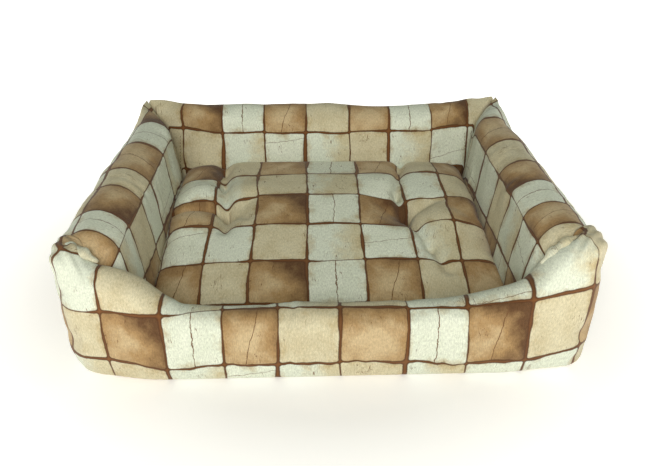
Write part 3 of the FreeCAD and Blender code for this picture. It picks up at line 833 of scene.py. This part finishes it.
def pillow(name, half, centre, corner, cells, top, under, lines):
    """Two panels of cloth sewn together round their edge."""
    bm = bmesh.new()
    print_map = bm.loops.layers.uv.new("print")
    across, deep = cells
    for height in (top, under):
        made = bmesh.ops.create_grid(bm, x_segments=across, y_segments=deep, size=0.5)["verts"]
        for vert in made:
            a, b = 2 * vert.co.x, 2 * vert.co.y
            flat = rounded(a, b, half, corner)
            x, y = flat.x + centre.x, flat.y + centre.y
            vert.co = Vector((x, y, height(x, y)))
        for face in {face for vert in made for face in vert.link_faces}:
            for loop in face.loops:
                spot = loop.vert.co
                loop[print_map].uv = print_spot(spot.x, spot.y, height, lines)
    bmesh.ops.remove_doubles(bm, verts=bm.verts[:], dist=0.05 * MM)
    bmesh.ops.recalc_face_normals(bm, faces=bm.faces[:])
    return as_piece(name, bm)


def cushion_held(point):
    """The tufts and the base stay put while the cushion is filled."""
    if point.z < pillow_foot + 5 * MM:
        return 1
    spot = Vector((point.x, point.y))
    near = min((spot - LEFT_TUFT).length, (spot - RIGHT_TUFT).length)
    return (1 - smooth(near, 7 * MM, 14 * MM)) * smooth(point.z, 60 * MM, 80 * MM)


cushion = pillow("cushion", CUSHION_HALF, Vector((0, CUSHION_MIDDLE)), CUSHION_CORNER, (96, 80),
                 cushion_top, cushion_under, (CUSHION_COLUMNS, CUSHION_ROWS))
plump(cushion, cushion_held, 3.0, 0.035, 9 * MM)
for vert in cushion.data.vertices:
    vert.co.x = max(min(vert.co.x, 309 * MM), -309 * MM)
    vert.co.y = min(vert.co.y, 251 * MM)
    vert.co.z = max(vert.co.z, pillow_foot + 0.3 * MM)
dress(cushion, "cushion", canvas,
      ("cushion_top_panel", "cushion_bottom_panel", "cushion_fill"))

# ---------------------------------------------------------------- threads and stitches
def stitches(name, runs, length, gap, thick):
    """Rows of separate stitches along runs of points. Each is a strand that swells in the
    middle and dips into the cloth at both ends."""
    bm = bmesh.new()
    for run in runs:
        reach = sum((stop - start).length for start, stop in zip(run, run[1:]))
        count = max(int(reach / (length + gap)), 1)
        dense = spaced(run, 4 * count)
        for index in range(count):
            start, stop = dense[4 * index], dense[4 * index + 3]
            turn = (stop - start).to_track_quat("X", "Z").to_matrix().to_4x4()
            made = bmesh.ops.create_icosphere(bm, subdivisions=1, radius=0.5)["verts"]
            bmesh.ops.scale(bm, vec=(length, thick, thick), verts=made)
            bmesh.ops.transform(bm, matrix=turn, verts=made)
            bmesh.ops.translate(bm, vec=(start + stop) / 2, verts=made)
    return as_piece(name, bm)


def ring(half_x, half_y, middle_y, corner, height):
    """A closed run round a rectangle with round corners."""
    run = []
    for turn, (side_x, side_y) in enumerate(((1, 1), (-1, 1), (-1, -1), (1, -1))):
        centre = (side_x * (half_x - corner), middle_y + side_y * (half_y - corner))
        run += [point.to_3d() for point in arc(centre, corner, 90 * turn, 90 * turn + 90, 6)]
    run.append(run[0].copy())
    for point in run:
        point.z = height(point.x, point.y)
    return run


base_low, base_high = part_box("base_seam_thread")
half = (base_high - base_low) / 2
base_run = ring(half.x - 1 * MM, half.y - 1 * MM, (base_high.y + base_low.y) / 2, 30 * MM,
                lambda x, y: (base_low.z + base_high.z) / 2)
base_seam = stitches("base_seam", [base_run], 5 * MM, 2.5 * MM, 1.0 * MM)
dress(base_seam, "surround", thread, ("base_seam_thread",), levels=0)

cushion_run = ring(CUSHION_HALF.x + 0.5 * MM, CUSHION_HALF.y + 0.5 * MM, CUSHION_MIDDLE,
                   CUSHION_CORNER, along_seam)
cushion_seam = stitches("cushion_seam", [cushion_run], 4 * MM, 1.5 * MM, 1.2 * MM)
dress(cushion_seam, "cushion", thread, ("cushion_seam_thread",), levels=0)

corner_low, corner_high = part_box("corner_seam_threads")
corner_runs = []
for hand in (-1, 1):
    for depth, top in ((corner_high.y, 0.185), (corner_low.y, 0.165)):
        corner_runs.append([Vector((hand * (corner_high.x + (top - level) * 0.1), depth, level))
                            for level in (FLOOR + 4 * MM, top)])
corner_seams = stitches("corner_seams", corner_runs, 5 * MM, 2 * MM, 1.0 * MM)
dress(corner_seams, "surround", thread, ("corner_seam_threads",), levels=0)


def tuft(name, middle):
    """The stitch that ties a tuft: four strands of thread that cross in the hollow."""
    bm = bmesh.new()
    top = cushion_top(middle.x, middle.y) + 0.5 * MM
    for angle in (20, 68, 115, 160):
        made = bmesh.ops.create_uvsphere(bm, u_segments=12, v_segments=8, radius=0.5)["verts"]
        bmesh.ops.scale(bm, vec=(9 * MM, 1.4 * MM, 2.2 * MM), verts=made)
        turn = Matrix.Rotation(math.radians(angle), 3, "Z")
        bmesh.ops.rotate(bm, matrix=turn, verts=made)
        bmesh.ops.translate(bm, vec=(middle.x, middle.y, top + angle * 0.006 * MM), verts=made)
    return as_piece(name, bm)


for name, middle in (("tuft_left", LEFT_TUFT), ("tuft_right", RIGHT_TUFT)):
    dress(tuft(name, middle), "cushion", thread,
          ("tuft_tie_left" if name == "tuft_left" else "tuft_tie_right",), levels=0)

# ---------------------------------------------------------------- base and floor
def flat_cloth(name, half_x, low_y, high_y, corner, level, thick, cells, ripple):
    """A flat cut of cloth with round corners that lies at a level, with slight ripples."""
    bm = bmesh.new()
    print_map = bm.loops.layers.uv.new("print")
    bmesh.ops.create_grid(bm, x_segments=cells[0], y_segments=cells[1], size=0.5)
    half = Vector((half_x, (high_y - low_y) / 2))
    for vert in bm.verts:
        flat = rounded(2 * vert.co.x, 2 * vert.co.y, half, corner)
        wave = ripple * (0.5 + 0.5 * lumps((flat.x, flat.y, 0), 60 * MM, 51))
        vert.co = Vector((flat.x, flat.y + (low_y + high_y) / 2, level + wave))
    for face in bm.faces:
        for loop in face.loops:
            spot = loop.vert.co
            loop[print_map].uv = (spot.x / BLOCK + 0.4, spot.y / BLOCK + 0.3)
    bmesh.ops.recalc_face_normals(bm, faces=bm.faces[:])
    if sum(face.normal.z for face in bm.faces) < 0:
        bmesh.ops.reverse_faces(bm, faces=bm.faces[:])
    bmesh.ops.solidify(bm, geom=bm.faces[:], thickness=thick)
    bmesh.ops.recalc_face_normals(bm, faces=bm.faces[:])
    return as_piece(name, bm)


underside = flat_cloth("underside", under_high.x, under_low.y, under_high.y, 30 * MM,
                       under_high.z - 0.8 * MM, 0.7 * MM, (40, 34), 0.3 * MM)
dress(underside, "surround", base_cloth, ("underside_panel",), levels=0)

lining = flat_cloth("lining", lining_high.x, lining_low.y, lining_high.y, 8 * MM,
                    lining_high.z - 0.5 * MM, 0.8 * MM, (48, 40), 0.4 * MM)
dress(lining, "surround", canvas, ("floor_lining",), levels=0)

# the base is filled with a thin quilted pad
base_wadding = pillow("base_wadding", PAD_HALF, Vector((0, PAD_MIDDLE)), 14 * MM, (44, 36),
                      lambda x, y: pad_high.z - 0.4 * MM - 9 * MM * pad_edge(x, y),
                      lambda x, y: pad_low.z + 0.4 * MM + 9 * MM * pad_edge(x, y),
                      (CUSHION_COLUMNS, CUSHION_ROWS))
dress(base_wadding, "surround", wadding, ("base_pad",), levels=0)


# ---------------------------------------------------------------- side tab
TAB_OUT = tab_high.x + 13 * MM                      # it clears the puffed cloth beside it


def ribbon_tab():
    """A short loop of ribbon, folded flat, that stands out of the seam at the right corner."""
    bm = bmesh.new()
    out, tall = TAB_OUT - tab_low.x, tab_high.z - tab_low.z
    bmesh.ops.create_grid(bm, x_segments=20, y_segments=14, size=0.5)
    for vert in bm.verts:
        turn = vert.co.x * 2                            # -1 at one end of the ribbon, 1 at the other
        run = 1 - abs(turn)
        open_up = 1.1 * MM * math.sqrt(max(1 - run**2, 0)) * math.copysign(1, turn) if turn else 0
        level = tab_low.z + (vert.co.y + 0.5) * tall
        bow = 1.2 * MM * math.sin(math.pi * (vert.co.y + 0.5)) * run
        across = tab_low.x - 1 * MM + run * (out + 1 * MM)
        vert.co = Vector((across, tab_low.y + 0.5 * MM + open_up + bow, level))
    bmesh.ops.recalc_face_normals(bm, faces=bm.faces[:])
    bmesh.ops.solidify(bm, geom=bm.faces[:], thickness=0.5 * MM)
    bmesh.ops.recalc_face_normals(bm, faces=bm.faces[:])
    return as_piece("side_tab_ribbon", bm)


tab = ribbon_tab()
dress(tab, "surround", ribbon, ("side_tab",), levels=0)

# ---------------------------------------------------------------- floor, light and camera
bm = bmesh.new()
bmesh.ops.create_grid(bm, x_segments=1, y_segments=1, size=12)
floor = as_piece("studio_floor", bm)
paper = bpy.data.materials.new("paper_background_painted_glow")
paper.use_nodes = True
paper_shader = paper.node_tree.nodes["Principled BSDF"]
paper_shader.inputs["Base Color"].default_value = colour("#F6F4F1")
paper_shader.inputs["Roughness"].default_value = 0.9
paper_shader.inputs["Specular IOR Level"].default_value = 0.1
# the colour of the sheet's painted glow
paper_shader.inputs["Emission Color"].default_value = colour("#FFFCF8")
# the sheet glows though it is no lamp: painted light that grows away from the bed, with a painted
# soft shadow of the bed near it where the glow is weak
paper_tree = paper.node_tree
away = add(paper_tree, "VectorMath", add(paper_tree, "TexCoord", out="Object"), operation="LENGTH",
           out="Value")
# painted shadow near the bed, painted glow further out
glow_with_painted_shadow = add(paper_tree, "MapRange", away, 0.42, 0.90, 0.24, 1.15)
paper_tree.links.new(glow_with_painted_shadow, paper_shader.inputs["Emission Strength"])
floor.data.materials.append(paper)

world = bpy.data.worlds.new("studio")
scene.world = world
world.use_nodes = True
sky = world.node_tree.nodes["Background"]
# pale walls round the bed and a darker, slightly green ceiling over it
sky_tree = world.node_tree
height = add(sky_tree, "SeparateXYZ", add(sky_tree, "TexCoord", out="Generated")).node.outputs[2]
strength = add(sky_tree, "MapRange", height, 0.0, 0.9, 0.64, 0.09)
sky_tree.links.new(strength, sky.inputs["Strength"])
tint = add(sky_tree, "MapRange", height, 0.0, 0.6)
tint = add(sky_tree, "Mix", tint, (1, 1, 1, 1), colour("#D6E6CC"), data_type="RGBA")
sky_tree.links.new(tint, sky.inputs["Color"])
scene.view_settings.view_transform = "Standard"


def lamp(name, place, aim, size, power, tint):
    data = bpy.data.lights.new(name, "AREA")
    data.shape = "RECTANGLE"
    data.size, data.size_y = size
    data.energy = power
    data.color = colour(tint)[:3]
    light = bpy.data.objects.new(name, data)
    scene.collection.objects.link(light)
    light.location = place
    light.rotation_euler = (Vector(aim) - Vector(place)).to_track_quat("-Z", "Y").to_euler()
    return light


lamp("front_softbox", (-0.3, -3.4, 2.2), (0, 0, 0.1), (2.2, 2.2), 108, "#FFFEFB")
lamp("right_softbox", (2.2, -0.6, 1.6), (0, 0, 0.1), (1.0, 1.4), 5, "#FFFFFF")

camera_data = bpy.data.cameras.new("camera")
camera_data.sensor_width = 36
camera_data.lens = 35.92
camera = bpy.data.objects.new("camera", camera_data)
scene.collection.objects.link(camera)
camera.location = (-25 * MM, -1119 * MM, 676.5 * MM)
camera.rotation_euler = (math.radians(90 - 28.36), 0, math.radians(-1.88))
scene.camera = camera
